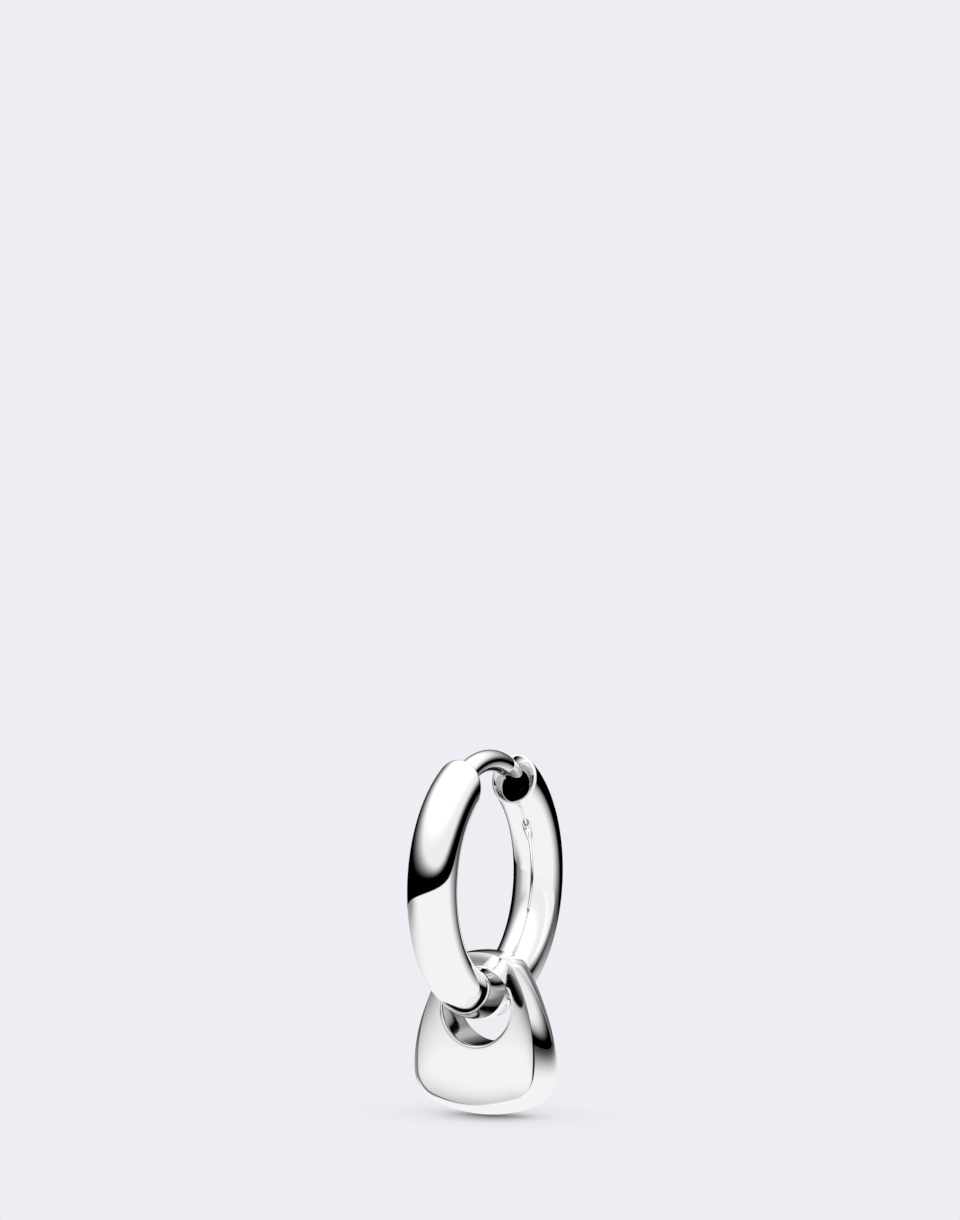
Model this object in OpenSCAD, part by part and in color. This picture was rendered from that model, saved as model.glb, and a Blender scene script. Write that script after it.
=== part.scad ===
// Huggie earring: a hinged tube hoop with a post through the ear and a padlock-shaped pendant.
// Z is up. The origin is the middle of the post at its crown, where it sits in the ear.
// The hoop lies in the YZ plane, its front limb and the pendant's face towards -Y.

/* [Hoop] */
// Outer diameter of the hoop
hoop_outer_d = 14; // [13.5:0.1:14.5]
// Diameter of the hoop's round tube
tube_d = 2.5; // [2.4:0.05:2.6]
// How far in front of the hoop's middle its front end is cut off upright
front_cut = 2.7; // [2.6:0.1:3.2]
// How far behind the hoop's middle the back end's face has its centre
back_cut = 3.06; // [3:0.02:3.2]
// Lean of the back end's face from upright, in degrees
back_face_lean = 17; // [14:1:22]

/* [Ear post] */
// Diameter of the post
post_d = 1.08; // [1:0.02:1.2]
// Diameter of the post's rounded tip
post_tip_d = 0.76; // [0.7:0.02:0.9]
// Radius of the post's arc along its middle
post_arc_r = 5.15; // [5.1:0.05:5.4]
// Height of the post's crown above the hoop's centre
post_crown_h = 6.05; // [5.9:0.05:6.1]
// Angle past the crown at which the post starts to taper
post_taper_angle = 22; // [18:1:30]
// Angle past the crown at which the ball tip has its centre
post_tip_angle = 45; // [43:1:46]

/* [Socket] */
// Diameter of the socket that takes the post's tip
socket_d = 1.54; // [1.5:0.01:1.56]
// Depth of the socket along its axis
socket_depth = 2; // [1.6:0.1:2.2]
// Slope of the socket's axis below level, in degrees
socket_slope = 38; // [36:1:40]
// How far the socket's mouth sits inwards of the end face's centre
socket_inset = 0.16; // [0.14:0.01:0.2]
// Depth of the dished end face around the socket
dish_depth = 0.42; // [0.3:0.02:0.5]
// How far the dish reaches past the socket's edge
dish_reach = 0.2; // [0.1:0.02:0.24]

/* [Hinge] */
// Diameter of the hinge pin
pin_d = 0.56; // [0.5:0.02:0.6]
// Height of the pin's axis above the bottom of the tube
pin_rise = 0.5; // [0.45:0.01:0.55]
// Radius of the hinge knuckles
knuckle_r = 0.55; // [0.52:0.01:0.58]
// Width of the middle knuckle
tongue_w = 0.76; // [0.6:0.02:0.8]
// Clearance around and beside the knuckles
hinge_gap = 0.06; // [0.04:0.01:0.07]
// Clearance of the pin in the knuckle that turns on it
pin_play = 0.03; // [0.02:0.01:0.04]

/* [Pendant] */
// Diameter of the hole that the hoop passes through
eye_d = 3.88; // [3.86:0.01:3.9]
// Depth of the hole's centre below the hoop's centre
eye_drop = 6.28; // [6.26:0.01:6.29]
// Depth of the front edge's lowest point below the hoop's centre
pendant_drop = 11.3; // [11.2:0.02:11.4]
// Half of the thickness at the arch
half_thick_top = 0.76; // [0.65:0.01:0.8]
// Half of the thickness low down
half_thick_low = 1.11; // [1.05:0.01:1.25]
// How far the rim wall swells past the face edge at the arch
swell_top = 0.05; // [0.03:0.01:0.2]
// How far the rim wall swells past the face edge low down
swell_low = 0.67; // [0.4:0.01:0.7]
// How much less the rim wall swells at the very bottom
swell_less = 0.14; // [0:0.01:0.2]
// Height above the lowest point of the face edge at which the pendant is widest
widest_h = 1.2; // [1:0.1:2]
// Rise of each domed face above its edge
dome = 0.2; // [0.1:0.01:0.3]
// Power that keeps the dome flat in the middle and round at its edge
dome_power = 5; // [2:0.5:6]
// Radius and turn of each tangent arc of half the face edge, from the bottom to the arch.
// The last arc makes up the half turn, and its radius brings the edge back to the middle.
EDGE_ARCS = [[6.55, 21], [1.41, 64.5], [9, 35.5], [1.2, 38]];

/* [Hidden] */
$fn = 96;

// The tube's own radius, and the radius of the circle along its middle
tube_r = tube_d / 2;
hoop_r = hoop_outer_d / 2 - tube_r;
// The post's arc has its centre this far above the hoop's
post_centre_h = post_crown_h - post_arc_r;
// Where the post's arc starts, well inside the front limb
post_root_angle = -36;
// Steps in which the post thins towards its tip
taper_steps = 6;
// The pin's axis, measured from the hoop's centre
pin_z = -hoop_outer_d / 2 + pin_rise;
// The two halves meet at the bottom, this angle short of it on each side
seam_angle = 180 - hinge_gap / 2 / hoop_r * 180 / PI;
// Half the arc of tube that the knuckles are cut from
knuckle_span = 12;
// Clearance of the pin in the two knuckles that hold it
pin_fit = 0.01;
// How far the pin's dressed ends stay inside the tube's surface
pin_flush = 0.01;
// The ball at the post's tip is this much thinner than the post there, and this many degrees short of its end
ball_less = 0.08;
ball_back = 1;
// How far the socket's cutter starts outside its mouth
socket_lead = 1;
// Larger than any of the part's pieces, for cutting blocks
block = 20;
// The back end face's centre, on the line midway through the tube
back_z = sqrt(hoop_r * hoop_r - back_cut * back_cut);

// Steps along each arc of the face edge, from the bottom to the arch
ARC_STEPS = [5, 10, 7, 6, 4];
// Rings around the rim wall, from the front edge (-1) to the back edge (1)
WALL_STEPS = [-1, -0.75, -0.5, -0.25, 0, 0.25, 0.5, 0.75, 1];
// Rings on each face, as a part of the way from the hole's centre out to the edge
FACE_STEPS = [0.95, 0.88, 0.78, 0.62, 0.45, 0.3];

function sum_to(list, n) = n <= 0 ? 0 : list[n - 1] + sum_to(list, n - 1);

// Half outline of the face edge: tangent arcs, turning half a turn in all
first_turns = [for (row = EDGE_ARCS) row[1]];
turns = concat(first_turns, [180 - sum_to(first_turns, len(first_turns))]);
headings = [for (i = [0 : len(turns)]) sum_to(turns, i)];
drifts = [for (i = [0 : len(EDGE_ARCS) - 1]) EDGE_ARCS[i][0] * (sin(headings[i + 1]) - sin(headings[i]))];
last_r = sum_to(drifts, len(drifts)) / sin(headings[len(EDGE_ARCS)]);
radii = concat([for (row = EDGE_ARCS) row[0]], [last_r]);
// Heading and radius of every short chord of the half outline
chords = [
    for (i = [0 : len(turns) - 1], k = [0 : ARC_STEPS[i] - 1])
        let (step = turns[i] / ARC_STEPS[i])
        [headings[i] + k * step, headings[i] + (k + 1) * step, radii[i]]
];
chord_x = [for (c = chords) c[2] * (sin(c[1]) - sin(c[0]))];
chord_z = [for (c = chords) c[2] * (cos(c[0]) - cos(c[1]))];
// Each edge point as [x, height from the hoop's centre, heading]
half_edge = [
    for (i = [0 : len(chords)])
        [sum_to(chord_x, i), sum_to(chord_z, i) - pendant_drop, i == 0 ? 0 : chords[i - 1][1]]
];
last = len(half_edge) - 1;
edge = concat(
    [for (i = [0 : last - 1]) half_edge[i]],
    [for (i = [last : -1 : 1]) [i == last ? 0 : -half_edge[i][0], half_edge[i][1], 360 - half_edge[i][2]]]
);
arch_z = half_edge[last][1];
widest_z = -pendant_drop + widest_h;

// Goes smoothly from 0 at the arch to 1 low down
function low(z) = let (u = max(0, min(1, (arch_z - z) / (arch_z - widest_z)))) u * u * (3 - 2 * u);
function half_thick(z) = half_thick_top + (half_thick_low - half_thick_top) * low(z);
function swell(z) = swell_top + (swell_low - swell_top) * low(z);

// A point of the rim wall, across from the front edge (-1) to the back edge (1)
function wall_point(p, across) =
    let (
        foot = max(0, cos(p[2])),
        out = (swell(p[1]) - swell_less * foot * foot) * (1 - across * across)
    )
    [p[0] + out * sin(p[2]), across * half_thick(p[1]), p[1] - out * cos(p[2])];

// A point of a face, part of the way out from the hole's centre to the edge
function face_point(p, part, side) =
    let (z = -eye_drop + part * (p[1] + eye_drop))
    [part * p[0], side * (half_thick(z) + dome * (1 - pow(part, dome_power))), z];

// A piece of tube along the hoop, between two angles past the top towards the back
module limb(from, to, d = tube_d, r = hoop_r) {
    rotate([0, -90, 0])
        rotate([0, 0, from])
            rotate_extrude(angle = to - from)
                translate([r, 0])
                    circle(d = d);
}

// A round bar on the hinge's axis, between two distances from the middle
module on_pin(r, x0, x1) {
    translate([x0, 0, pin_z])
        rotate([0, 90, 0])
            cylinder(h = x1 - x0, r = r);
}

// A knuckle: the part of the tube's bottom that lies close around the pin
module knuckle(x0, x1) {
    intersection() {
        on_pin(knuckle_r, x0, x1);
        limb(180 - knuckle_span, 180 + knuckle_span);
    }
}

// The post: an arc of round bar that thins in fine steps to a ball tip
module post() {
    taper = post_tip_angle - post_taper_angle;
    translate([0, 0, post_centre_h]) {
        limb(post_root_angle, post_taper_angle, post_d, post_arc_r);
        for (k = [1 : taper_steps])
            limb(
                post_taper_angle + (k - 2) / taper_steps * taper,
                post_taper_angle + k / taper_steps * taper,
                post_d - k / taper_steps * (post_d - post_tip_d),
                post_arc_r
            );
        rotate([ball_back - post_tip_angle, 0, 0])
            translate([0, 0, post_arc_r])
                sphere(d = post_tip_d - ball_less);
    }
}

// The front limb with the post soldered into its end, and the hinge's two outer knuckles
module front_half() {
    color("silver")
        translate([0, 0, -post_crown_h])
            difference() {
                union() {
                    difference() {
                        limb(-seam_angle, 0);
                        translate([-block / 2, -front_cut, 0])
                            cube(block);
                    }
                    post();
                    knuckle(-tube_r, tube_r);
                }
                on_pin(knuckle_r + hinge_gap, -tongue_w / 2 - hinge_gap / 2, tongue_w / 2 + hinge_gap / 2);
                on_pin(pin_d / 2 + pin_fit, -tube_d, tube_d);
            }
}

// The back limb with its socket, and the middle knuckle that turns on the pin
module back_half() {
    color("silver")
        translate([0, 0, -post_crown_h])
            difference() {
                union() {
                    difference() {
                        limb(0, seam_angle);
                        translate([0, back_cut, back_z])
                            rotate([-back_face_lean, 0, 0])
                                translate([0, -block / 2, 0])
                                    cube([block, block, 2 * tube_d], center = true);
                        on_pin(knuckle_r + hinge_gap, tongue_w / 2, tube_d);
                        on_pin(knuckle_r + hinge_gap, -tube_d, -tongue_w / 2);
                    }
                    knuckle(-tongue_w / 2, tongue_w / 2);
                }
                on_pin(pin_d / 2 + pin_play, -tube_d, tube_d);
                socket();
            }
}

// The blind round hole for the post's tip, in its dished end face
module socket() {
    translate([0, back_cut, back_z])
        rotate([-90 - socket_slope, 0, 0])
            translate([0, socket_inset, 0]) {
                translate([0, 0, -socket_lead])
                    cylinder(h = socket_depth + socket_lead, d = socket_d);
                translate([0, 0, -dish_depth])
                    cylinder(h = 2 * dish_depth, d1 = socket_d + 4 * dish_reach, d2 = socket_d);
            }
}

// The hinge pin, its ends flush with the tube
module hinge_pin() {
    color("silver")
        translate([0, 0, -post_crown_h])
            intersection() {
                on_pin(pin_d / 2, -tube_r, tube_r);
                limb(180 - knuckle_span, 180 + knuckle_span, tube_d - 2 * pin_flush);
            }
}

// The pendant: domed faces, a swelling rim wall and the round hole for the hoop
module pendant() {
    count = len(edge);
    rings = concat(
        [for (k = [len(FACE_STEPS) - 1 : -1 : 0]) [for (p = edge) face_point(p, FACE_STEPS[k], -1)]],
        [for (v = WALL_STEPS) [for (p = edge) wall_point(p, v)]],
        [for (k = [0 : len(FACE_STEPS) - 1]) [for (p = edge) face_point(p, FACE_STEPS[k], 1)]]
    );
    middle = half_thick(-eye_drop) + dome;
    points = concat(
        [for (ring = rings) each ring],
        [[0, -middle, -eye_drop], [0, middle, -eye_drop]]
    );
    front_tip = len(rings) * count;
    sides = [
        for (r = [0 : len(rings) - 2], i = [0 : count - 1])
            let (
                j = (i + 1) % count,
                a = r * count + i,
                b = r * count + j,
                c = (r + 1) * count + j,
                d = (r + 1) * count + i
            )
            each [[a, b, c], [a, c, d]]
    ];
    caps = [
        for (i = [0 : count - 1])
            let (j = (i + 1) % count, top = (len(rings) - 1) * count)
            each [[front_tip, j, i], [front_tip + 1, top + i, top + j]]
    ];
    color("silver")
        translate([0, 0, -post_crown_h])
            difference() {
                polyhedron(points = points, faces = concat(sides, caps));
                translate([0, 0, -eye_drop])
                    rotate([90, 0, 0])
                        cylinder(h = block, d = eye_d, center = true);
            }
}

front_half();
back_half();
hinge_pin();
pendant();
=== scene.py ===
# Huggie earring with a padlock-shaped drop: the silver's smooth shapes and finish, the studio and the camera.
# Shapes are worked out in millimetres from the hoop's centre and then put in the frame, in metres.
import math

import bpy
from mathutils import Matrix, Vector


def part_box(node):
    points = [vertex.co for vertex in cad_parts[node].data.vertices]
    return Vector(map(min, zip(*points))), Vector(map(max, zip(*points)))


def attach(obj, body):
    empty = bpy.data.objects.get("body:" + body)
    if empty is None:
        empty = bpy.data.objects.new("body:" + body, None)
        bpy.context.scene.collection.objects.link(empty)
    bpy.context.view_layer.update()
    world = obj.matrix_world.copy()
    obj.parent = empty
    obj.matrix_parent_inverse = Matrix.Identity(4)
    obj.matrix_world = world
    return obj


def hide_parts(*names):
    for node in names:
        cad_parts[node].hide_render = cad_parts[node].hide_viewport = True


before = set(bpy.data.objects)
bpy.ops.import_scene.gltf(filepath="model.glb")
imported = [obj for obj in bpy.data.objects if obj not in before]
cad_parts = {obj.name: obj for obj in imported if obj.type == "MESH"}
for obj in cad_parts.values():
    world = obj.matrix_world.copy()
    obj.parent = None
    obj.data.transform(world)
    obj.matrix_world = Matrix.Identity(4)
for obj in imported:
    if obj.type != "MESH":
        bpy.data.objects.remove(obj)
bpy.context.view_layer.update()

MM = 0.001

# Sizes that the frame gives
hoop_low, hoop_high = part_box("back_half")
drop_low, drop_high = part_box("pendant")
HOOP_OUT = hoop_high.y / MM
TUBE_R = hoop_high.x / MM
HOOP_R = HOOP_OUT - TUBE_R
CENTRE_Z = hoop_low.z / MM + HOOP_OUT
FLOOR_Z = drop_low.z / MM

# The hoop's two ends, and the rounding of their edges
FRONT_CUT = 2.7
BACK_CUT = 3.06
BACK_LEAN = 17
FRONT_ROUND = 0.3
BACK_ROUND = 0.12

# The post
POST_R = 0.54
POST_TIP_R = 0.38
POST_ARC_R = 5.15
POST_CENTRE_Z = 0.9
POST_TAPER_FROM = 22
POST_TAPER_POWER = 1.5
POST_TIP_AT = 44.5
SOLDER_ROUND = 0.05

# The socket, and the dish that the end face is turned to round it
SOCKET_R = 0.77
SOCKET_DEPTH = 2
SOCKET_SLOPE = 38
SOCKET_INSET = 0.16
SOCKET_ROUND = 0.04
DISH_DEPTH = 0.42
DISH_REACH = 0.2

# The hinge
HINGE_GAP = 0.06
PIN_R = 0.28
PIN_RISE = 0.5
KNUCKLE_R = 0.55
KNUCKLE_END = 1.1 * TUBE_R
TONGUE_HALF = 0.38
# The knuckles are cut from a stretch of tube that goes this far to each side of its bottom, in degrees
KNUCKLE_SPAN = 12
SEAM_ROUND = 0.06
# The pin sits fast in the front limb and turns in the back one. Its ends lie just under the tube's surface.
PIN_FAST = 0.01
PIN_PLAY = 0.03
PIN_SUNK = 0.01
PIN_ROUND = 0.02
# Length of a cutting bar that goes right through the tube, to each side
THROUGH = 2 * TUBE_R

# The pendant
EYE_R = 1.94
EYE_DROP = 6.28
EYE_BEVEL = 0.16
PENDANT_DROP = 11.3
HALF_THICK_TOP = 0.76
HALF_THICK_LOW = 1.11
SWELL_TOP = 0.05
SWELL_LOW = 0.67
SWELL_LESS = 0.14
WIDEST_HEIGHT = 1.2
DOME = 0.2
DOME_POWER = 5
# Ring of the rim wall that its rounded edge starts from, and how much of the way to it the rounding takes, at
# the arch and low down
EDGE_RING = 3
EDGE_PART_TOP = 0.3
EDGE_PART_LOW = 0.8
# Radius and turn of each arc of half the face edge, from the bottom to the arch
EDGE_ARCS = [(6.55, 21), (1.41, 64.5), (9, 35.5), (1.2, 38)]

# Fineness of the meshes: steps around a tube, along a full turn of the hoop, and along each smaller stretch
AROUND = 128
TURN_STEPS = 480
ROUND_STEPS = 5
END_FACE_STEPS = 6
TAPER_STEPS = 24
BALL_STEPS = 12
BORE_STEPS = 8
BAR_AROUND = 96
PIN_AROUND = 64
PIN_END_STEPS = 6
WALL_STEPS = 32
FACE_STEPS = 40
HOLE_STEPS = 16
EYE_STEPS = 6
EDGE_STEPS = 8
# The pendant's outline has a point at least this often, in degrees and millimetres, and this many to an arc
OUTLINE_TURN = 1.5
OUTLINE_LENGTH = 0.09
ARC_STEPS = 6
# Rings of the pendant's face lie closer together towards its edge, by this power
FACE_CLOSER = 1.5


# Meshes

def to_frame(point):
    """A point in millimetres from the hoop's centre, in the frame's metres."""
    return (point[0] * MM, point[1] * MM, (point[2] + CENTRE_Z) * MM)


def mesh_piece(name, points, faces):
    mesh = bpy.data.meshes.new(name)
    mesh.from_pydata([to_frame(p) for p in points], [], faces)
    mesh.validate()
    mesh.update()
    piece = bpy.data.objects.new(name, mesh)
    bpy.context.scene.collection.objects.link(piece)
    return piece


def skin(name, rings, closed=False):
    """A tube of quads through rings of equally many points. Open ends are closed with flat faces."""
    count = len(rings[0])
    points = [p for ring in rings for p in ring]
    faces = []
    spans = len(rings) if closed else len(rings) - 1
    for r in range(spans):
        here = r * count
        there = (r + 1) % len(rings) * count
        for i in range(count):
            j = (i + 1) % count
            faces.append((here + i, here + j, there + j, there + i))
    if not closed:
        faces.append(tuple(range(count - 1, -1, -1)))
        faces.append(tuple(range((len(rings) - 1) * count, len(rings) * count)))
    return mesh_piece(name, points, faces)


def smooth(piece, sharp=30):
    """Smooth shading with every edge sharper than the given angle left crisp."""
    mesh = piece.data
    mesh.polygons.foreach_set("use_smooth", [True] * len(mesh.polygons))
    mesh.set_sharp_from_angle(angle=math.radians(sharp))


def carve(piece, other, operation):
    """Joins the other solid to the piece, or cuts it away, and removes the other."""
    step = piece.modifiers.new("carve", "BOOLEAN")
    step.operation = operation
    step.solver = "EXACT"
    step.object = other
    graph = bpy.context.evaluated_depsgraph_get()
    made = bpy.data.meshes.new_from_object(piece.evaluated_get(graph))
    piece.modifiers.clear()
    piece.data = made
    bpy.data.objects.remove(other)


def rounded(before, corner, after, steps=ROUND_STEPS):
    """Rings that turn a corner smoothly from the ring before it to the ring after it."""
    rings = []
    for k in range(steps + 1):
        t = k / steps
        weights = ((1 - t) ** 2, 2 * t * (1 - t), t * t)
        rings.append([
            tuple(sum(w * p[axis] for w, p in zip(weights, trio)) for axis in range(3))
            for trio in zip(before, corner, after)
        ])
    return rings


def moved_towards(ring, centre, distance):
    """The ring with every point moved a distance towards a centre."""
    out = []
    for p in ring:
        way = Vector(centre) - Vector(p)
        out.append(tuple(Vector(p) + way.normalized() * distance))
    return out


def between(ring_a, ring_b, steps):
    """Rings that go straight from one ring to another, both left out."""
    return [
        [tuple(Vector(a).lerp(Vector(b), k / steps)) for a, b in zip(ring_a, ring_b)]
        for k in range(1, steps)
    ]


# Hoop and post

TURNS = [2 * math.pi * i / AROUND for i in range(AROUND)]


def on_tube(turn, angle, tube_r=TUBE_R, arc_r=HOOP_R, centre_z=0):
    """A point of an arc of tube: turn 0 is its outside, and angle 0 its top, growing towards the back."""
    out = arc_r + tube_r * math.cos(turn)
    return (tube_r * math.sin(turn), out * math.sin(angle), centre_z + out * math.cos(angle))


def ring_on_tube(angles, tube_r=TUBE_R, arc_r=HOOP_R, centre_z=0):
    """A ring of tube points, each at its own angle."""
    return [on_tube(t, a, tube_r, arc_r, centre_z) for t, a in zip(TURNS, angles)]


def tube_rings(angles_from, angles_to, tube_r=TUBE_R, arc_r=HOOP_R, centre_z=0):
    """Rings along an arc of tube, between two ends that need not be square."""
    longest = max(abs(a - b) for a, b in zip(angles_from, angles_to))
    steps = max(2, round(longest / (2 * math.pi) * TURN_STEPS))
    rings = []
    for k in range(steps + 1):
        angles = [a + (b - a) * k / steps for a, b in zip(angles_from, angles_to)]
        rings.append(ring_on_tube(angles, tube_r, arc_r, centre_z))
    return rings


def seam_rings(side):
    """The closed, rounded end at the bottom seam, from the middle outwards, and the angles where it ends."""
    seam = side * (math.pi - HINGE_GAP / 2 / HOOP_R)
    inner = side * (math.pi - (HINGE_GAP / 2 + SEAM_ROUND) / HOOP_R)
    corner = ring_on_tube([seam] * AROUND)
    middle = (0, HOOP_R * math.sin(seam), HOOP_R * math.cos(seam))
    flat = moved_towards(corner, middle, SEAM_ROUND)
    start = [inner] * AROUND
    return rounded(flat, corner, ring_on_tube(start)), start


def front_limb():
    """The front limb with its post, one soldered piece, and its side of the hinge."""
    rings, start = seam_rings(-1)
    reach = [HOOP_R + TUBE_R * math.cos(t) for t in TURNS]
    end = [-math.asin(FRONT_CUT / r) for r in reach]
    before_end = [a - FRONT_ROUND / r for a, r in zip(end, reach)]
    rings += tube_rings(start, before_end)[1:]
    face_middle = (0, -FRONT_CUT, math.sqrt(HOOP_R ** 2 - FRONT_CUT ** 2))
    corner = ring_on_tube(end)
    face_edge = moved_towards(corner, face_middle, FRONT_ROUND)
    rings += rounded(rings[-1], corner, face_edge)[1:]

    post = {"arc_r": POST_ARC_R, "centre_z": POST_CENTRE_Z}
    post_reach = [POST_ARC_R + POST_R * math.cos(t) for t in TURNS]
    foot = [-math.asin(FRONT_CUT / r) for r in post_reach]
    foot_ring = ring_on_tube(foot, POST_R, **post)
    foot_middle = (0, -FRONT_CUT, POST_CENTRE_Z + math.sqrt(POST_ARC_R ** 2 - FRONT_CUT ** 2))
    solder_edge = moved_towards(foot_ring, foot_middle, -SOLDER_ROUND)
    rings += between(face_edge, solder_edge, END_FACE_STEPS)
    after_foot = [a + SOLDER_ROUND / POST_ARC_R for a in foot]
    rings += rounded(solder_edge, foot_ring, ring_on_tube(after_foot, POST_R, **post))

    taper = math.radians(POST_TAPER_FROM)
    tip = math.radians(POST_TIP_AT)
    rings += tube_rings(after_foot, [taper] * AROUND, POST_R, **post)[1:]
    for k in range(1, TAPER_STEPS + 1):
        part = k / TAPER_STEPS
        radius = POST_R - (POST_R - POST_TIP_R) * part ** POST_TAPER_POWER
        rings.append(ring_on_tube([taper + (tip - taper) * part] * AROUND, radius, **post))
    for k in range(1, BALL_STEPS):
        lean = math.pi / 2 * k / BALL_STEPS
        forward = POST_TIP_R * math.sin(lean) / POST_ARC_R
        rings.append(ring_on_tube([tip + forward] * AROUND, POST_TIP_R * math.cos(lean), **post))
    return skin("front_limb", rings)


def socket_directions():
    """The socket's direction into the limb, and the one square to it towards the hoop's centre."""
    slope = math.radians(SOCKET_SLOPE)
    return Vector((0, math.cos(slope), -math.sin(slope))), Vector((0, -math.sin(slope), -math.cos(slope)))


def back_limb():
    """The back limb with its socket, and its side of the hinge."""
    rings, start = seam_rings(1)
    lean = math.radians(BACK_LEAN)
    centre_angle = math.asin(BACK_CUT / HOOP_R)
    reach = [HOOP_R + TUBE_R * math.cos(t) for t in TURNS]
    end = [lean + math.asin(HOOP_R * math.sin(centre_angle - lean) / r) for r in reach]
    before_end = [a + BACK_ROUND / r for a, r in zip(end, reach)]
    rings += tube_rings(start, before_end)[1:]
    face_middle = Vector((0, BACK_CUT, HOOP_R * math.cos(centre_angle)))
    corner = ring_on_tube(end)
    face_edge = moved_towards(corner, face_middle, BACK_ROUND)
    rings += rounded(rings[-1], corner, face_edge)[1:]

    into, inwards = socket_directions()
    face_normal = Vector((0, -math.cos(lean), math.sin(lean)))
    mouth = face_middle + inwards * SOCKET_INSET
    dish_bottom = mouth + into * DISH_DEPTH
    rim = []
    bottom = []
    for t in TURNS:
        p = mouth + Vector((1, 0, 0)) * SOCKET_R * math.sin(t) - inwards * SOCKET_R * math.cos(t)
        to_rim = (dish_bottom - p).dot(face_normal) / into.dot(face_normal)
        rim.append(tuple(p + into * to_rim))
        bottom.append(tuple(p + into * SOCKET_DEPTH))
    rim_edge = moved_towards(rim, dish_bottom, -SOCKET_ROUND)
    rings += between(face_edge, rim_edge, END_FACE_STEPS)
    bore = [tuple(Vector(p) + into * SOCKET_ROUND) for p in rim]
    rings += rounded(rim_edge, rim, bore)
    rings += between(bore, bottom, BORE_STEPS)
    rings.append(bottom)
    flipped = [list(reversed(ring)) for ring in rings]
    return skin("back_limb", flipped)


# Hinge

def bar_on_pin(radius, x_from, x_to):
    """A round bar on the hinge's axis."""
    z = -HOOP_OUT + PIN_RISE
    angles = [2 * math.pi * i / BAR_AROUND for i in range(BAR_AROUND)]
    rings = [
        [(x, radius * math.cos(a), z + radius * math.sin(a)) for a in angles]
        for x in (x_from, x_to)
    ]
    return skin("bar", rings)


def bottom_of_tube():
    """The short stretch of tube that the knuckles are cut from."""
    span = math.radians(KNUCKLE_SPAN)
    rings = tube_rings([math.pi - span] * AROUND, [math.pi + span] * AROUND)
    return skin("bottom", [list(reversed(ring)) for ring in rings])


def knuckle(x_from, x_to):
    piece = bar_on_pin(KNUCKLE_R, x_from, x_to)
    carve(piece, bottom_of_tube(), "INTERSECT")
    return piece


def hinge_front(limb):
    """Cuts the front limb's two knuckles and the place for the middle one."""
    for side in (-1, 1):
        ends = sorted((side * (TONGUE_HALF + HINGE_GAP / 2), side * KNUCKLE_END))
        carve(limb, knuckle(*ends), "UNION")
    room = TONGUE_HALF + HINGE_GAP / 2
    carve(limb, bar_on_pin(KNUCKLE_R + HINGE_GAP, -room, room), "DIFFERENCE")
    carve(limb, bar_on_pin(PIN_R + PIN_FAST, -THROUGH, THROUGH), "DIFFERENCE")


def hinge_back(limb):
    """Cuts the room for the outer knuckles from the back limb, and joins the middle one to it."""
    for side in (-1, 1):
        ends = sorted((side * TONGUE_HALF, side * THROUGH))
        carve(limb, bar_on_pin(KNUCKLE_R + HINGE_GAP, *ends), "DIFFERENCE")
    carve(limb, knuckle(-TONGUE_HALF, TONGUE_HALF), "UNION")
    carve(limb, bar_on_pin(PIN_R + PIN_PLAY, -THROUGH, THROUGH), "DIFFERENCE")


def hinge_pin():
    """The pin, its ends dressed flush with the tube."""
    z = -HOOP_OUT + PIN_RISE
    flush_r = TUBE_R - PIN_SUNK

    def end_x(y, height):
        out = math.hypot(y, height) - HOOP_R
        return math.sqrt(flush_r ** 2 - out ** 2)

    def ring(radius, side, back=0.0):
        made = []
        for i in range(PIN_AROUND):
            a = 2 * math.pi * i / PIN_AROUND
            y = radius * math.cos(a)
            height = z + radius * math.sin(a)
            made.append((side * (end_x(y, height) - back), y, height))
        return made

    radii = [PIN_R * k / PIN_END_STEPS for k in range(1, PIN_END_STEPS)] + [PIN_R - PIN_ROUND]
    left = [ring(r, -1) for r in radii] + [ring(PIN_R, -1, PIN_ROUND)]
    right = [ring(PIN_R, 1, PIN_ROUND)] + [ring(r, 1) for r in reversed(radii)]
    return skin("pin", left + right)


# Pendant

def half_outline():
    """Half of the face edge as (x, height, heading), from the bottom to the arch."""
    turned = sum(turn for radius, turn in EDGE_ARCS)
    heading = 0.0
    drift = 0.0
    for radius, turn in EDGE_ARCS:
        following = heading + math.radians(turn)
        drift += radius * (math.sin(following) - math.sin(heading))
        heading = following
    last_r = drift / math.sin(heading)
    points = [(0.0, -PENDANT_DROP, 0.0)]
    heading = 0.0
    x, z = 0.0, -PENDANT_DROP
    for radius, turn in EDGE_ARCS + [(last_r, 180 - turned)]:
        length = radius * math.radians(turn)
        steps = max(ARC_STEPS, round(turn / OUTLINE_TURN), round(length / OUTLINE_LENGTH))
        step = math.radians(turn) / steps
        for k in range(steps):
            following = heading + step
            x += radius * (math.sin(following) - math.sin(heading))
            z += radius * (math.cos(heading) - math.cos(following))
            heading = following
            points.append((x, z, heading))
    return points


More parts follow.
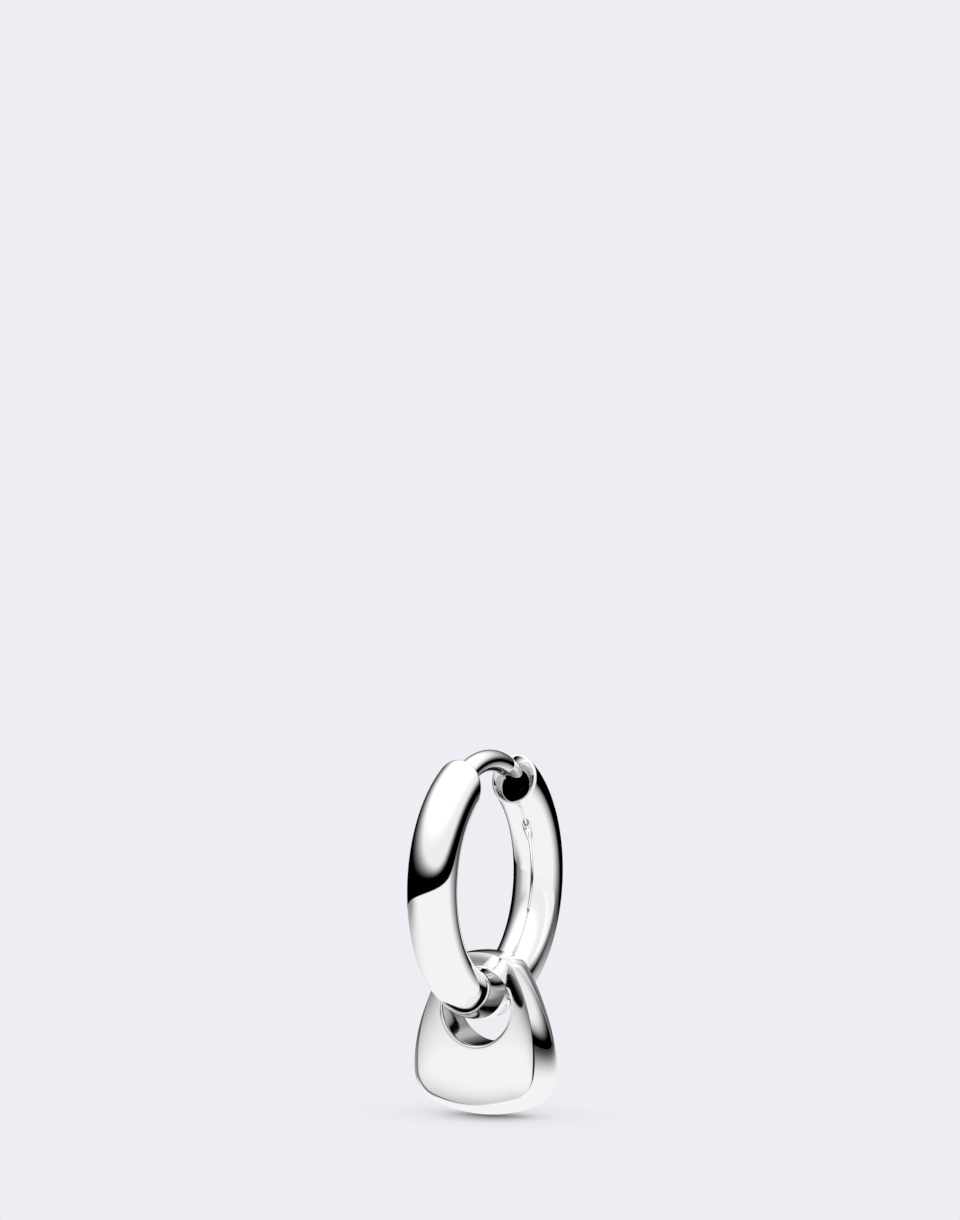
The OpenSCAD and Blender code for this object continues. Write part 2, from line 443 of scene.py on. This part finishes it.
def pendant():
    """The drop: domed faces with the large hole, and a rim wall that swells round its middle."""
    half = half_outline()
    arch_z = half[-1][1]
    widest_z = -PENDANT_DROP + WIDEST_HEIGHT
    outline = half[:-1] + [(0.0, arch_z, math.pi)]
    outline += [(-x, z, 2 * math.pi - h) for x, z, h in reversed(half[1:-1])]

    def low(z):
        u = max(0.0, min(1.0, (arch_z - z) / (arch_z - widest_z)))
        return u * u * (3 - 2 * u)

    def half_thick(z):
        return HALF_THICK_TOP + (HALF_THICK_LOW - HALF_THICK_TOP) * low(z)

    def wall_ring(across):
        ring = []
        for x, z, heading in outline:
            foot = max(0.0, math.cos(heading))
            swell = SWELL_TOP + (SWELL_LOW - SWELL_TOP) * low(z) - SWELL_LESS * foot ** 2
            out = swell * (1 - across ** 2)
            ring.append((x + out * math.sin(heading), across * half_thick(z), z - out * math.cos(heading)))
        return ring

    wall = [wall_ring(-math.cos(math.pi * k / WALL_STEPS)) for k in range(WALL_STEPS + 1)]
    edge_parts = [EDGE_PART_TOP + (EDGE_PART_LOW - EDGE_PART_TOP) * low(z) for x, z, heading in outline]
    # How far the rounding of the edge goes, at each point of the outline
    reach = [
        part * (Vector(w) - Vector(c)).length
        for part, w, c in zip(edge_parts, wall[EDGE_RING], wall[0])
    ]

    def face_ring(side, part, from_eye=0.0, sunk=0.0):
        """Part of the way from the hole's rim to where the edge's rounding starts."""
        ring = []
        for (x, z, heading), rounding in zip(outline, reach):
            length = math.hypot(x, z + EYE_DROP)
            rim = (EYE_R + from_eye) / length
            f = rim + part * (1 - rounding / length - rim)
            height = -EYE_DROP + f * (z + EYE_DROP)
            y = half_thick(height) + DOME * (1 - f ** DOME_POWER) - sunk
            ring.append((f * x, side * y, height))
        return ring

    def face(side):
        """Rings of one face, from inside the hole over its bevel, and round the edge to the wall."""
        rings = rounded(
            face_ring(side, 0, sunk=EYE_BEVEL),
            face_ring(side, 0),
            face_ring(side, 0, from_eye=EYE_BEVEL),
            EYE_STEPS,
        )
        for k in range(1, FACE_STEPS):
            rings.append(face_ring(side, 1 - (1 - k / FACE_STEPS) ** FACE_CLOSER, EYE_BEVEL))
        corner, inwards = (wall[0], wall[EDGE_RING]) if side < 0 else (wall[-1], wall[-1 - EDGE_RING])
        onto_wall = [
            tuple(Vector(c).lerp(Vector(w), part))
            for part, c, w in zip(edge_parts, corner, inwards)
        ]
        return rings + rounded(face_ring(side, 1, EYE_BEVEL), corner, onto_wall, EDGE_STEPS)

    rings = face(-1) + wall[EDGE_RING:-EDGE_RING] + list(reversed(face(1)))
    inside = between(rings[-1], rings[0], HOLE_STEPS)
    flipped = [list(reversed(ring)) for ring in rings + inside]
    return skin("padlock_drop", flipped, closed=True)


# Materials

# Painted shade, with tarnish: silver in recesses that the mop doesn't reach is painted nearly black and dull.
# It is darkest where it sees less of what is around it than the first share, and clean and unshaded above the
# second.
RECESS_SHADE_AND_TARNISH = "#1C1C1E"
SHADE_AND_TARNISH_DULL = 0.35
SHADED_AND_TARNISHED_BELOW = 0.1
UNSHADED_AND_CLEAN_ABOVE = 0.4
# The mop's pull leaves faint waves this far apart and this high, in millimetres
MOP_PULL = 0.9
MOP_WAVE = 0.002
MOP_WAVE_STRENGTH = 0.02
# Along its hairlines the silver is less or more rough by this share, and most values of their noise lie
# between the low and the high one
HAIRLINE_SHARE = 0.4
NOISE_LOW = 0.3
NOISE_HIGH = 0.7
# How far from a recess's wall a face still belongs to it, in millimetres
DISH_SPARE = 0.05
BORE_SPARE = 0.01
HOLE_SPARE = 0.005


def linear(code):
    """A colour from its sRGB hex value."""
    parts = [int(code[i:i + 2], 16) / 255 for i in (1, 3, 5)]
    return tuple(c / 12.92 if c <= 0.04045 else ((c + 0.055) / 1.055) ** 2.4 for c in parts) + (1,)


def add(tree, kind, inputs=None, **settings):
    """Adds a node, with its settings and what goes into each of its sockets: a value or another socket."""
    node = tree.nodes.new(kind)
    for name, value in settings.items():
        setattr(node, name, value)
    for name, value in (inputs or {}).items():
        if isinstance(value, bpy.types.NodeSocket):
            tree.links.new(value, node.inputs[name])
        else:
            node.inputs[name].default_value = value
    return node


def new_material(name):
    material = bpy.data.materials.new(name)
    material.use_nodes = True
    tree = material.node_tree
    tree.nodes.clear()
    return material, tree


def silver(name, colour, roughness, marks, recess_shade_reach):
    """Sterling silver. The marks are the spacing of the finest lines that the tool left, in millimetres, and
    the last argument is how far from a wall a recess is still painted dark, as shade and as tarnish that the
    mop misses."""
    material, tree = new_material(name)
    place = add(tree, "ShaderNodeTexCoord").outputs["Object"]
    pull = add(tree, "ShaderNodeTexNoise", {"Vector": place, "Scale": 1 / (MOP_PULL * MM), "Detail": 2.0})
    lines = add(tree, "ShaderNodeTexNoise", {
        "Vector": place, "Scale": 1 / (marks * MM), "Detail": 3.0, "Roughness": 0.6, "Distortion": 1.5,
    })
    # Painted shade: ambient occlusion darkens recesses, seams and the bore nearly black, together with
    # tarnish.
    recess = add(tree, "ShaderNodeAmbientOcclusion", {"Distance": recess_shade_reach * MM}, samples=4, only_local=True)
    unshaded_and_clean = add(tree, "ShaderNodeMapRange", {
        "Value": recess.outputs["AO"], "From Min": SHADED_AND_TARNISHED_BELOW, "From Max": UNSHADED_AND_CLEAN_ABOVE,
    }, interpolation_type="SMOOTHSTEP").outputs[0]
    tone = add(tree, "ShaderNodeMix", {
        "Factor": unshaded_and_clean, "A": linear(RECESS_SHADE_AND_TARNISH), "B": linear(colour),
    }, data_type="RGBA")
    gloss = add(tree, "ShaderNodeMapRange", {
        "Value": lines.outputs[0], "From Min": NOISE_LOW, "From Max": NOISE_HIGH,
        "To Min": roughness * (1 - HAIRLINE_SHARE), "To Max": roughness * (1 + HAIRLINE_SHARE),
    })
    dull = add(tree, "ShaderNodeMapRange", {"Value": unshaded_and_clean, "To Min": SHADE_AND_TARNISH_DULL, "To Max": 0.0})
    rough = add(tree, "ShaderNodeMath", {0: gloss.outputs[0], 1: dull.outputs[0]}, operation="ADD")
    waves = add(tree, "ShaderNodeBump", {
        "Height": pull.outputs[0], "Strength": MOP_WAVE_STRENGTH, "Distance": MOP_WAVE * MM,
    })
    shader = add(tree, "ShaderNodeBsdfPrincipled", {
        "Base Color": tone.outputs["Result"],
        "Metallic": 1.0,
        "Roughness": rough.outputs[0],
        "Normal": waves.outputs[0],
    })
    add(tree, "ShaderNodeOutputMaterial", {"Surface": shader.outputs[0]})
    return material


def finish_inside(piece, material, inside):
    """Gives the material to the faces whose middle, in millimetres from the hoop's centre, is in a recess."""
    piece.data.materials.append(material)
    for face in piece.data.polygons:
        x, y, z = face.center / MM
        if inside(Vector((x, y, z - CENTRE_Z))):
            face.material_index = len(piece.data.materials) - 1


def off_socket(point):
    """How far the point is from the socket's axis, how far in along it, and how deep behind the end face."""
    into, inwards = socket_directions()
    lean = math.radians(BACK_LEAN)
    face_middle = Vector((0, BACK_CUT, math.sqrt(HOOP_R ** 2 - BACK_CUT ** 2)))
    from_mouth = point - face_middle - inwards * SOCKET_INSET
    along = from_mouth.dot(into)
    off_axis = from_mouth - into * along
    depth = (point - face_middle).dot(Vector((0, math.cos(lean), -math.sin(lean))))
    return off_axis.length, along, depth


def in_dish(point):
    """Whether the point is on the back limb's dished end face."""
    off_axis, along, depth = off_socket(point)
    return off_axis < SOCKET_R + DISH_REACH + DISH_SPARE and depth > 0 and along < SOCKET_DEPTH


def in_socket(point):
    """Whether the point is on the bore's wall or bottom."""
    off_axis, along, depth = off_socket(point)
    return off_axis < SOCKET_R + BORE_SPARE and depth > SOCKET_ROUND and along < SOCKET_DEPTH + BORE_SPARE


def in_hole(point):
    """Whether the point is on the wall of the pendant's hole."""
    return math.hypot(point.x, point.z + EYE_DROP) < EYE_R + HOLE_SPARE


# Studio

BACKDROP = "#EEEDF3"
# The painted shadows on the floor, a dark one where the drop is close and a faint one around it: from how far
# off a piece darkens the floor, in millimetres, and how much. The dark one is round, and lies a little to the
# drop's front.
SHADOW_REACH = 2.6
SHADOW_DARK = 0.95
SHADOW_HALF = 3.6
SHADOW_MIDDLE = (0.6, -1.1)
SHADOW_FAINT_REACH = 4.5
SHADOW_FAINT = 0.25

# Half the floor's side, in metres
FLOOR_HALF = 3.0

# Everything below is only mirrored in the silver: a light table with a raised rim, and a softbox tent over
# it, with darkness between the two. Directions are azimuths, 0 to the front and 90 to the right, and
# elevations from the hoop's centre, in degrees.
TABLE_R = 62
TABLE_FLAT_R = 20
TABLE_RADII = (0.01, 1, 3, 6, 10, 15, 20, 25, 30, 35, 40, 45, 50, 54, 58, TABLE_R)
TABLE_RIM_DROP = 5.3
TABLE_RIM_SWING = 4.2
TABLE_HIGH_SIDE = 80
TABLE_LIGHT = 0.96
# Layers of the table that different pieces mirror lie this far apart
TABLE_LAYER = 0.1
# Azimuths of the points of the table and the tent
ALL_ROUND = range(0, 361, 3)
TENT_R = 95
TENT_STEPS = 24
TENT_LOW = 6
# The tent's light comes up over this many degrees, and sooner towards its near side
TENT_FADE = 26
TENT_FADE_SWING = 18
TENT_NEAR_SIDE = 55
TENT_LIGHT = 0.9
# Towards its top it is brighter still, between these elevations
TENT_TOP_FROM = 25
TENT_TOP_FULL = 55
TENT_TOP_LIGHT = 0.3
CARD_STEPS = 60
OVAL_STEPS = 24
# The oval softbox's light is full up to this part of the way from its middle to its sides, and its middle is
# moved to the right by bending its azimuths with this power
OVAL_FULL = 0.2
OVAL_BEND = 2.3
# The black flag's edge is this soft, in parts of its size
FLAG_INNER = 0.9
FLAG_OUTER = 1.05


def toward(azimuth, elevation=0):
    """The direction with that azimuth and elevation."""
    a = math.radians(azimuth)
    e = math.radians(elevation)
    return Vector((math.sin(a) * math.cos(e), -math.cos(a) * math.cos(e), math.sin(e)))


def pale_backdrop():
    """The pale backdrop behind the floor, which the silver doesn't mirror."""
    world = bpy.data.worlds.new("studio")
    bpy.context.scene.world = world
    world.use_nodes = True
    tree = world.node_tree
    tree.nodes.clear()
    backdrop = add(tree, "ShaderNodeBackground", {"Color": linear(BACKDROP), "Strength": 1.0})
    add(tree, "ShaderNodeOutputWorld", {"Surface": backdrop.outputs[0]})
    world.cycles_visibility.glossy = False


def floor():
    """The pale floor that the camera sees: it glows evenly in the backdrop's colour, with a painted soft
    shadow where the drop is close to it.
    """
    mesh = bpy.data.meshes.new("floor")
    signs = [(-1, -1), (1, -1), (1, 1), (-1, 1)]
    mesh.from_pydata([(x * FLOOR_HALF, y * FLOOR_HALF, FLOOR_Z * MM) for x, y in signs], [], [(0, 1, 2, 3)])
    plane = bpy.data.objects.new("floor", mesh)
    bpy.context.scene.collection.objects.link(plane)
    material, tree = new_material("pale_floor_painted_shadow")
    # Painted shadow: ambient occlusion and a round spot near the drop darken the floor's glow.
    near = add(tree, "ShaderNodeAmbientOcclusion", {"Distance": SHADOW_REACH * MM}, samples=8)
    place = add(tree, "ShaderNodeNewGeometry").outputs["Position"]
    middle = (SHADOW_MIDDLE[0] * MM, SHADOW_MIDDLE[1] * MM, FLOOR_Z * MM)
    away = add(tree, "ShaderNodeVectorMath", {0: place, 1: middle}, operation="DISTANCE")
    share = add(tree, "ShaderNodeMapRange", {
        "Value": away.outputs["Value"], "From Max": SHADOW_HALF * MM, "To Min": SHADOW_DARK, "To Max": 0.0,
    }, interpolation_type="SMOOTHSTEP")
    dark = add(tree, "ShaderNodeMix", {"Factor": share.outputs[0], "A": 1.0, "B": near.outputs["AO"]})
    far = add(tree, "ShaderNodeAmbientOcclusion", {"Distance": SHADOW_FAINT_REACH * MM}, samples=8)
    faint = add(tree, "ShaderNodeMapRange", {"Value": far.outputs["AO"], "To Min": 1 - SHADOW_FAINT})
    lit = add(tree, "ShaderNodeMath", {0: dark.outputs[0], 1: faint.outputs[0]}, operation="MULTIPLY")
    tone = add(tree, "ShaderNodeMix", {
        "Factor": lit.outputs[0], "A": linear("#000000"), "B": linear(BACKDROP),
    }, data_type="RGBA")
    shader = add(tree, "ShaderNodeEmission", {"Color": tone.outputs["Result"]})
    add(tree, "ShaderNodeOutputMaterial", {"Surface": shader.outputs[0]})
    mesh.materials.append(material)
    plane.visible_glossy = False


def light_sheet(name, rows):
    """A sheet of light through rows of equally many points, which only the silver sees."""
    count = len(rows[0])
    mesh = bpy.data.meshes.new(name)
    faces = [
        (r * count + i, r * count + i + 1, (r + 1) * count + i + 1, (r + 1) * count + i)
        for r in range(len(rows) - 1) for i in range(count - 1)
    ]
    mesh.from_pydata([to_frame(p) for row in rows for p in row], [], faces)
    uv = mesh.uv_layers.new(name="along_and_up")
    for corner, loop in zip(uv.data, mesh.loops):
        row, place = divmod(loop.vertex_index, count)
        corner.uv = (place / (count - 1), row / (len(rows) - 1))
    sheet = bpy.data.objects.new(name, mesh)
    bpy.context.scene.collection.objects.link(sheet)
    sheet.visible_camera = False
    sheet.visible_diffuse = False
    sheet.visible_shadow = False
    material, tree = new_material(name)
    mesh.materials.append(material)
    return sheet, tree


def light_up(sheet, tree, strength, pieces):
    """Gives the sheet light of that strength, which only those pieces mirror. The others see through it."""
    glow = add(tree, "ShaderNodeEmission", {"Color": (1, 1, 1, 1), "Strength": strength})
    clear = add(tree, "ShaderNodeBsdfTransparent")
    both = add(tree, "ShaderNodeAddShader", {0: glow.outputs[0], 1: clear.outputs[0]})
    add(tree, "ShaderNodeOutputMaterial", {"Surface": both.outputs[0]})
    receivers = bpy.data.collections.new(sheet.name)
    for piece in pieces:
        receivers.objects.link(piece)
    sheet.light_linking.receiver_collection = receivers


def table_rim(azimuth):
    """A point of the table's rim, in millimetres from the hoop's centre."""
    drop = TABLE_RIM_DROP - TABLE_RIM_SWING * math.cos(math.radians(azimuth - TABLE_HIGH_SIDE))
    return toward(azimuth) * TABLE_R - Vector((0, 0, TABLE_R * math.tan(math.radians(drop))))


def light_table(name, pieces, layer, fades, patches):
    """The table under the earring, flat in the middle and rising to its rim. A fade is a direction, and how
    far along it the table is dark, and how far full. A round patch is its centre, where it ends, where the
    table is full again, and its own light. All are in millimetres."""
    flat_z = FLOOR_Z - CENTRE_Z - layer * TABLE_LAYER
    rows = []
    for radius in TABLE_RADII:
        rise = max(0.0, (radius - TABLE_FLAT_R) / (TABLE_R - TABLE_FLAT_R))
        out = radius / TABLE_R
        rims = [table_rim(azimuth) for azimuth in ALL_ROUND]
        rows.append([(rim.x * out, rim.y * out, flat_z + (rim.z - flat_z) * rise ** 2) for rim in rims])
    sheet, tree = light_sheet(name, rows)
    place = add(tree, "ShaderNodeNewGeometry").outputs["Position"]
    tone = TABLE_LIGHT
    for (x, y), dark, full in fades:
        along = add(tree, "ShaderNodeVectorMath", {0: place, 1: (x, y, 0)}, operation="DOT_PRODUCT")
        fade = add(tree, "ShaderNodeMapRange", {
            "Value": along.outputs["Value"], "From Min": dark * MM, "From Max": full * MM,
        })
        tone = add(tree, "ShaderNodeMath", {0: fade.outputs[0], 1: tone}, operation="MULTIPLY").outputs[0]
    for (x, y), end, start, light in patches:
        away = add(tree, "ShaderNodeVectorMath", {
            0: place, 1: (x * MM, y * MM, FLOOR_Z * MM),
        }, operation="DISTANCE")
        patch = add(tree, "ShaderNodeMapRange", {
            "Value": away.outputs["Value"], "From Min": end * MM, "From Max": start * MM,
            "To Min": light, "To Max": 1.0,
        }, interpolation_type="SMOOTHSTEP")
        tone = add(tree, "ShaderNodeMath", {0: patch.outputs[0], 1: tone}, operation="MULTIPLY").outputs[0]
    light_up(sheet, tree, tone, pieces)


def softbox_tent(pieces):
    """The tent of soft light over the table. Its light comes up slowly from its lower edge."""
    rows = []
    for k in range(TENT_STEPS + 1):
        elevation = TENT_LOW + (90 - TENT_LOW) * k / TENT_STEPS
        rows.append([tuple(toward(azimuth, elevation) * TENT_R) for azimuth in ALL_ROUND])
    sheet, tree = light_sheet("softbox_tent", rows)
    place = add(tree, "ShaderNodeNewGeometry").outputs["Position"]
    out = add(tree, "ShaderNodeVectorMath", {0: place, 1: (0, 0, CENTRE_Z * MM)}, operation="SUBTRACT")
    way = add(tree, "ShaderNodeVectorMath", {0: out.outputs[0]}, operation="NORMALIZE")
    split = add(tree, "ShaderNodeSeparateXYZ", {0: way.outputs[0]})
    height = add(tree, "ShaderNodeMath", {0: split.outputs["Z"]}, operation="ARCSINE")
    degrees = add(tree, "ShaderNodeMath", {0: height.outputs[0]}, operation="DEGREES")
    flat = add(tree, "ShaderNodeVectorMath", {0: way.outputs[0], 1: (1, 1, 0)}, operation="MULTIPLY")
    level = add(tree, "ShaderNodeVectorMath", {0: flat.outputs[0]}, operation="NORMALIZE")
    near = add(tree, "ShaderNodeVectorMath", {
        0: level.outputs[0], 1: toward(TENT_NEAR_SIDE),
    }, operation="DOT_PRODUCT")
    full = add(tree, "ShaderNodeMath", {
        0: near.outputs["Value"], 1: -TENT_FADE_SWING, 2: TENT_LOW + TENT_FADE,
    }, operation="MULTIPLY_ADD")
    side_light = add(tree, "ShaderNodeMapRange", {
        "Value": degrees.outputs[0], "From Min": TENT_LOW, "From Max": full.outputs[0],
        "To Min": 0.0, "To Max": TENT_LIGHT,
    }, interpolation_type="SMOOTHSTEP")
    top_light = add(tree, "ShaderNodeMapRange", {
        "Value": degrees.outputs[0], "From Min": TENT_TOP_FROM, "From Max": TENT_TOP_FULL,
        "To Min": 0.0, "To Max": TENT_TOP_LIGHT,
    }, interpolation_type="SMOOTHSTEP")
    light = add(tree, "ShaderNodeMath", {0: side_light.outputs[0], 1: top_light.outputs[0]}, operation="ADD")
    light_up(sheet, tree, light.outputs[0], pieces)


def white_card(name, piece, azimuths, top, along, up):
    """A card of light on the table's rim that only one piece mirrors, up to an elevation. It goes no higher
    than where the tent's light is full. Its light is given as places and strengths along it, and up it, where
    0.5 is the tent's lower edge."""
    rim_row = []
    middle_row = []
    top_row = []
    for k in range(CARD_STEPS + 1):
        azimuth = azimuths[0] + (azimuths[1] - azimuths[0]) * k / CARD_STEPS
        nearness = math.cos(math.radians(azimuth - TENT_NEAR_SIDE))
        tent_full = TENT_LOW + TENT_FADE - TENT_FADE_SWING * nearness
        rim = table_rim(azimuth)
        rim_row.append(tuple(rim))
        middle_row.append((rim.x, rim.y, TABLE_R * math.tan(math.radians(TENT_LOW))))
        top_row.append((rim.x, rim.y, TABLE_R * math.tan(math.radians(min(top, tent_full)))))
    sheet, tree = light_sheet(name, [rim_row, middle_row, top_row])
    place = add(tree, "ShaderNodeSeparateXYZ", {0: add(tree, "ShaderNodeTexCoord").outputs["UV"]})
    light = 1.0
    for axis, stops in (("X", along), ("Y", up)):
        fade = add(tree, "ShaderNodeValToRGB", {"Fac": place.outputs[axis]})
        fade.color_ramp.interpolation = "EASE"
        marks = fade.color_ramp.elements
        while len(marks) < len(stops):
            marks.new(0.5)
        for mark, (position, strength) in zip(marks, stops):
            mark.position = position
            mark.color = (strength, strength, strength, 1)
        light = add(tree, "ShaderNodeMath", {0: fade.outputs[0], 1: light}, operation="MULTIPLY").outputs[0]
    light_up(sheet, tree, light, [piece])


def oval_softbox(name, piece, centre_z, azimuths, elevations, flag, flag_size, flag_tilt):
    """A softbox with an oval of light that fades out all round, on a sphere about a height on the hoop's
    axis. A black flag hides an oval part of it: its middle and half its size, as parts of the sheet, and its
    tilt."""
    centre = Vector((0, 0, centre_z))
    rows = []
    for j in range(OVAL_STEPS + 1):
        elevation = elevations[0] + (elevations[1] - elevations[0]) * j / OVAL_STEPS
        row = []
        for k in range(OVAL_STEPS + 1):
            azimuth = azimuths[1] - (azimuths[1] - azimuths[0]) * (1 - k / OVAL_STEPS) ** OVAL_BEND
            row.append(tuple(centre + toward(azimuth, elevation) * TABLE_R))
        rows.append(row)
    sheet, tree = light_sheet(name, rows)
    place = add(tree, "ShaderNodeTexCoord").outputs["UV"]
    away = add(tree, "ShaderNodeVectorMath", {0: place, 1: (0.5, 0.5, 0)}, operation="DISTANCE")
    light = add(tree, "ShaderNodeMapRange", {
        "Value": away.outputs["Value"], "From Min": 0.5, "From Max": OVAL_FULL / 2,
        "To Min": 0.0, "To Max": TABLE_LIGHT,
    }, interpolation_type="SMOOTHSTEP")
    from_flag = add(tree, "ShaderNodeVectorMath", {0: place, 1: (*flag, 0)}, operation="SUBTRACT")
    turned = add(tree, "ShaderNodeVectorRotate", {
        "Vector": from_flag.outputs[0], "Angle": -math.radians(flag_tilt),
    }, rotation_type="Z_AXIS")
    part = add(tree, "ShaderNodeVectorMath", {0: turned.outputs[0], 1: (*flag_size, 1)}, operation="DIVIDE")
    size = add(tree, "ShaderNodeVectorMath", {0: part.outputs[0]}, operation="LENGTH")
    shown = add(tree, "ShaderNodeMapRange", {
        "Value": size.outputs["Value"], "From Min": FLAG_INNER, "From Max": FLAG_OUTER,
    })
    seen = add(tree, "ShaderNodeMath", {0: shown.outputs[0], 1: light.outputs[0]}, operation="MULTIPLY")
    light_up(sheet, tree, seen.outputs[0], [piece])


# Camera

VIEW_AZIMUTH = 27.64
VIEW_ELEVATION = 6.59
VIEW_DISTANCE = 644
PHOTO_SIZE = (960, 1220)
PIXELS_PER_MM = 19.89
# Where the hoop's centre is in the photograph, in its pixels
HOOP_PIXEL = (485.56, 880.57)
SENSOR = 36


def photo_camera():
    """A long lens from the front right, a little above, with the hoop's centre where the photo has it."""
    data = bpy.data.cameras.new("camera")
    data.sensor_width = SENSOR
    data.lens = PIXELS_PER_MM * SENSOR * VIEW_DISTANCE / max(PHOTO_SIZE)
    data.clip_end = 10
    camera = bpy.data.objects.new("camera", data)
    bpy.context.scene.collection.objects.link(camera)
    from_hoop = toward(VIEW_AZIMUTH, VIEW_ELEVATION)
    centre = Vector((0, 0, CENTRE_Z * MM))
    camera.location = centre + from_hoop * VIEW_DISTANCE * MM
    aside = math.atan((HOOP_PIXEL[0] - PHOTO_SIZE[0] / 2) / PIXELS_PER_MM / VIEW_DISTANCE)
    down = math.atan((HOOP_PIXEL[1] - PHOTO_SIZE[1] / 2) / PIXELS_PER_MM / VIEW_DISTANCE)
    camera.rotation_mode = "QUATERNION"
    aim = (-from_hoop).to_track_quat("-Z", "Y").to_matrix()
    turn = Matrix.Rotation(aside, 3, "Y") @ Matrix.Rotation(down, 3, "X")
    camera.rotation_quaternion = (aim @ turn).to_quaternion()
    bpy.context.scene.camera = camera


# The object

limb = front_limb()
hinge_front(limb)
back = back_limb()
hinge_back(back)
pin = hinge_pin()
drop = pendant()

# Mirror polish: a sharp, nearly white mirror. Its hairlines are drawn 0.12 mm apart so that they show at all.
hoop_silver = silver("sterling_silver_tube_mirror_polished", "#F7F7F7", 0.03, marks=0.12, recess_shade_reach=0.4)
drop_silver = silver("sterling_silver_cast_mirror_polished", "#F7F7F7", 0.03, marks=0.12, recess_shade_reach=0.2)
# Drawn wire: a softer shine
pin_silver = silver("sterling_silver_wire_drawn", "#E6E6E6", 0.12, marks=0.1, recess_shade_reach=0.1)
# Painted shade: the drilled bore is a dark grey, dull silver, so that it looks black like a hole in shade
bore_silver = silver("sterling_silver_bore_painted_shade", "#2A2A2C", 0.3, marks=0.08, recess_shade_reach=0.4)
# Turned with a fine tool and only brushed: a pale, even satin
face_silver = silver("sterling_silver_turned_face", "#DCDCDC", 0.38, marks=0.08, recess_shade_reach=0.1)
# Painted shade: the hole's wall is a lightly polished, greyer mirror, darkened to look shaded
hole_silver = silver("sterling_silver_hole_painted_shade", "#C4C4C4", 0.06, marks=0.1, recess_shade_reach=0.2)

for piece, body, node, slot, finish in (
    (limb, "front", "front_half", "polished_silver_hoop", hoop_silver),
    (back, "back", "back_half", "polished_silver_hoop", hoop_silver),
    (pin, "front", "hinge_pin", "silver_pin", pin_silver),
    (drop, "drop", "pendant", "polished_silver_pendant", drop_silver),
):
    smooth(piece)
    piece.data.materials.clear()
    piece.data.materials.append(finish)
    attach(piece, body)
    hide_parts(node)
finish_inside(back, face_silver, in_dish)
finish_inside(back, bore_silver, in_socket)
finish_inside(drop, hole_silver, in_hole)

photo_camera()
pale_backdrop()
floor()
softbox_tent([limb, pin, back, drop])
light_table(
    "table_for_front", [limb, pin], 0,
    fades=[((0, 1), 58, 12)],
    patches=[((-60, 0), 5, 55, 0.3)],
)
light_table(
    "table_for_back", [back], 1,
    fades=[((0, 1), 50, 14)],
    patches=[((-60, 0), 5, 40, 0.3)],
)
light_table(
    "table_for_drop", [drop], 2,
    fades=[((0.53, 1), -3, -2)],
    patches=[((0, 0), 62, 10, 0.05), ((-72, 30), 66, 72, 0.3)],
)
white_card(
    "card_for_back", back, (-110, 142), 26,
    along=[(0.0, 0.0), (0.12, 0.3), (0.28, 0.85), (0.36, 0.94), (0.92, 0.94), (1.0, 0.0)],
    up=[(0.0, 1.0), (0.5, 1.0), (1.0, 0.0)],
)
white_card(
    "strips_for_drop", drop, (148, 212), 33,
    along=[(0.0, 0.0), (0.15, 0.5), (0.3, 0.08), (0.45, 0.4), (0.6, 0.35), (0.75, 0.05), (1.0, 0.0)],
    up=[(0.0, 0.6), (0.5, 0.66), (1.0, 1.0)],
)
oval_softbox(
    "oval_for_drop", drop, -9, (-155, 20), (-44, 26),
    flag=(0.625, 0.83), flag_size=(0.13, 0.028), flag_tilt=33,
)

scene = bpy.context.scene
scene.view_settings.view_transform = "Standard"
scene.view_settings.look = "None"
